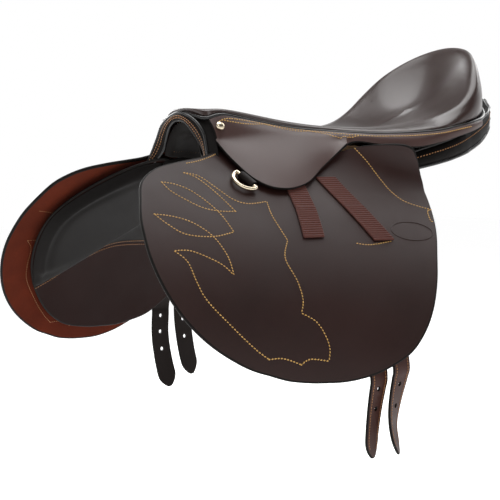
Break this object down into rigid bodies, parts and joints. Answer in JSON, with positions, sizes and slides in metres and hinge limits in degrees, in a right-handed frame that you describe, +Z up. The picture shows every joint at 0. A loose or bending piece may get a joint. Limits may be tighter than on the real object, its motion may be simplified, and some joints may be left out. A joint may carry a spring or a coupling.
{
  "type": "english saddle",
  "caption": "Close-contact jumping saddle with a deep seat, forward-cut lifting flaps, liftable skirts, padded panels, hanging girth straps and stirrup bars.",
  "frame": {"origin": "mid-plane of the saddle, level with the low inner edges of the panels, where a rack arm or the back carries it", "axes": "+X forward to the pommel, +Y to the left side of the rider, +Z up"},
  "size_m": [0.6041, 0.547, 0.4718],
  "materials": {
    "tree_wood": "laminated beech, sealed",
    "tree_steel": "black japanned spring steel",
    "rivet_steel": "satin",
    "bar_steel": "forged, satin",
    "linen_web": "woven linen webbing",
    "foam": "soft polyurethane foam",
    "seat_leather": "smooth, glossy, waxed",
    "piping_leather": "smooth, semi-gloss",
    "nail_brass": "polished",
    "skirt_leather": "smooth, semi-matt, black painted edge",
    "flap_leather": "smooth, semi-matt, black painted edge",
    "sweat_leather": "smooth with suede flesh side",
    "panel_leather": "soft, fine grain",
    "strap_leather": "bridle leather, stitched edges",
    "dee_brass": "polished",
    "tab_nylon": "ribbed nylon webbing"
  },
  "bodies": {
    "saddle": {"tree_frame": "tree_wood", "head_plate": "tree_steel", "gullet_plate": "tree_steel", "cantle_plate": "tree_steel", "tree_spring_left": "tree_steel", "tree_spring_right": "tree_steel", "tree_rivets": "rivet_steel", "stirrup_bar_left": "bar_steel", "stirrup_bar_right": "bar_steel", "seat_web_long": "linen_web", "seat_web_cross": "linen_web", "seat_foam": "foam", "seat_cover": "seat_leather", "seat_piping": "piping_leather", "skirt_strip_left": "skirt_leather", "skirt_strip_right": "skirt_leather", "skirt_nail_left": "nail_brass", "skirt_nail_right": "nail_brass", "flap_top_left": "flap_leather", "flap_top_right": "flap_leather", "sweat_flap_left": "sweat_leather", "sweat_flap_right": "sweat_leather", "flap_pad_left": "panel_leather", "flap_pad_right": "panel_leather", "knee_roll_left": "panel_leather", "knee_roll_right": "panel_leather", "panel_left": "panel_leather", "panel_right": "panel_leather", "pommel_facing": "panel_leather", "gullet_lining": "panel_leather", "girth_web_front": "linen_web", "girth_web_rear": "linen_web", "billet_left_front": "strap_leather", "billet_left_rear": "strap_leather", "billet_right_front": "strap_leather", "billet_right_rear": "strap_leather", "dee_chape_left": "strap_leather", "dee_chape_right": "strap_leather", "tab_root_left": "tab_nylon", "tab_root_right": "tab_nylon"},
    "flap_left_body": {"flap_left": "flap_leather"},
    "skirt_left_body": {"skirt_left": "skirt_leather"},
    "catch_left_body": {"bar_catch_left": "bar_steel"},
    "dee_left_body": {"dee_left": "dee_brass"},
    "tab_left_front_body": {"web_tab_left_front": "tab_nylon"},
    "tail_left_front_body": {"billet_tail_left_front": "strap_leather"},
    "tab_left_rear_body": {"web_tab_left_rear": "tab_nylon"},
    "tail_left_rear_body": {"billet_tail_left_rear": "strap_leather"},
    "flap_right_body": {"flap_right": "flap_leather"},
    "skirt_right_body": {"skirt_right": "skirt_leather"},
    "catch_right_body": {"bar_catch_right": "bar_steel"},
    "dee_right_body": {"dee_right": "dee_brass"},
    "tab_right_front_body": {"web_tab_right_front": "tab_nylon"},
    "tail_right_front_body": {"billet_tail_right_front": "strap_leather"},
    "tab_right_rear_body": {"web_tab_right_rear": "tab_nylon"},
    "tail_right_rear_body": {"billet_tail_right_rear": "strap_leather"}
  },
  "joints": [
    {"name": "flap_left_lift", "type": "hinge", "parent": "saddle", "child": "flap_left_body", "pos_m": [0.10013, 0.14616, -0.01046], "axis": [0.9946, -0.1042, -0.0005], "range_deg": [0, 90]},
    {"name": "skirt_left_lift", "type": "hinge", "parent": "saddle", "child": "skirt_left_body", "pos_m": [0.1245, 0.07427, 0.06375], "axis": [0.9826, -0.1854, 0.0124], "range_deg": [0, 70]},
    {"name": "catch_left_turn", "type": "hinge", "parent": "saddle", "child": "catch_left_body", "pos_m": [0.098, 0.058, 0.05], "axis": [0, 1, 0], "range_deg": [0, 68]},
    {"name": "dee_left_swing", "type": "hinge", "parent": "saddle", "child": "dee_left_body", "pos_m": [0.20036, 0.11023, 0.01729], "axis": [0.3105, -0.7509, 0.5828], "range_deg": [0, 80]},
    {"name": "tab_left_front_lift", "type": "hinge", "parent": "flap_left_body", "child": "tab_left_front_body", "pos_m": [0.14628, 0.1473, -0.01299], "axis": [0.9942, -0.1072, -0.001], "range_deg": [0, 30]},
    {"name": "tab_left_rear_lift", "type": "hinge", "parent": "flap_left_body", "child": "tab_left_rear_body", "pos_m": [0.08128, 0.15432, -0.01293], "axis": [0.9942, -0.1073, -0.0009], "range_deg": [0, 30]},
    {"name": "flap_right_lift", "type": "hinge", "parent": "saddle", "child": "flap_right_body", "pos_m": [0.10013, -0.14616, -0.01046], "axis": [-0.9946, -0.1042, 0.0005], "range_deg": [0, 90]},
    {"name": "skirt_right_lift", "type": "hinge", "parent": "saddle", "child": "skirt_right_body", "pos_m": [0.1245, -0.07427, 0.06375], "axis": [-0.9826, -0.1854, -0.0124], "range_deg": [0, 70]},
    {"name": "catch_right_turn", "type": "hinge", "parent": "saddle", "child": "catch_right_body", "pos_m": [0.098, -0.058, 0.05], "axis": [0, 1, 0], "range_deg": [0, 68]},
    {"name": "dee_right_swing", "type": "hinge", "parent": "saddle", "child": "dee_right_body", "pos_m": [0.20036, -0.11023, 0.01729], "axis": [-0.3105, -0.7509, -0.5828], "range_deg": [0, 80]},
    {"name": "tab_right_front_lift", "type": "hinge", "parent": "flap_right_body", "child": "tab_right_front_body", "pos_m": [0.14628, -0.1473, -0.01299], "axis": [-0.9942, -0.1072, 0.001], "range_deg": [0, 30]},
    {"name": "tab_right_rear_lift", "type": "hinge", "parent": "flap_right_body", "child": "tab_right_rear_body", "pos_m": [0.08128, -0.15432, -0.01293], "axis": [-0.9942, -0.1073, 0.0009], "range_deg": [0, 30]},
    {"name": "tail_left_front_swing", "type": "hinge", "parent": "saddle", "child": "tail_left_front_body", "pos_m": [0.13967, 0.26367, -0.1938], "axis": [1, 0, 0], "range_deg": [-15, 40]},
    {"name": "tail_left_rear_swing", "type": "hinge", "parent": "saddle", "child": "tail_left_rear_body", "pos_m": [0.11174, 0.26811, -0.1838], "axis": [1, 0, 0], "range_deg": [-15, 40]},
    {"name": "tail_right_front_swing", "type": "hinge", "parent": "saddle", "child": "tail_right_front_body", "pos_m": [0.0669, -0.26937, -0.1598], "axis": [-1, 0, 0], "range_deg": [-15, 40]},
    {"name": "tail_right_rear_swing", "type": "hinge", "parent": "saddle", "child": "tail_right_rear_body", "pos_m": [0.03505, -0.26422, -0.1378], "axis": [-1, 0, 0], "range_deg": [-15, 40]}
  ]
}
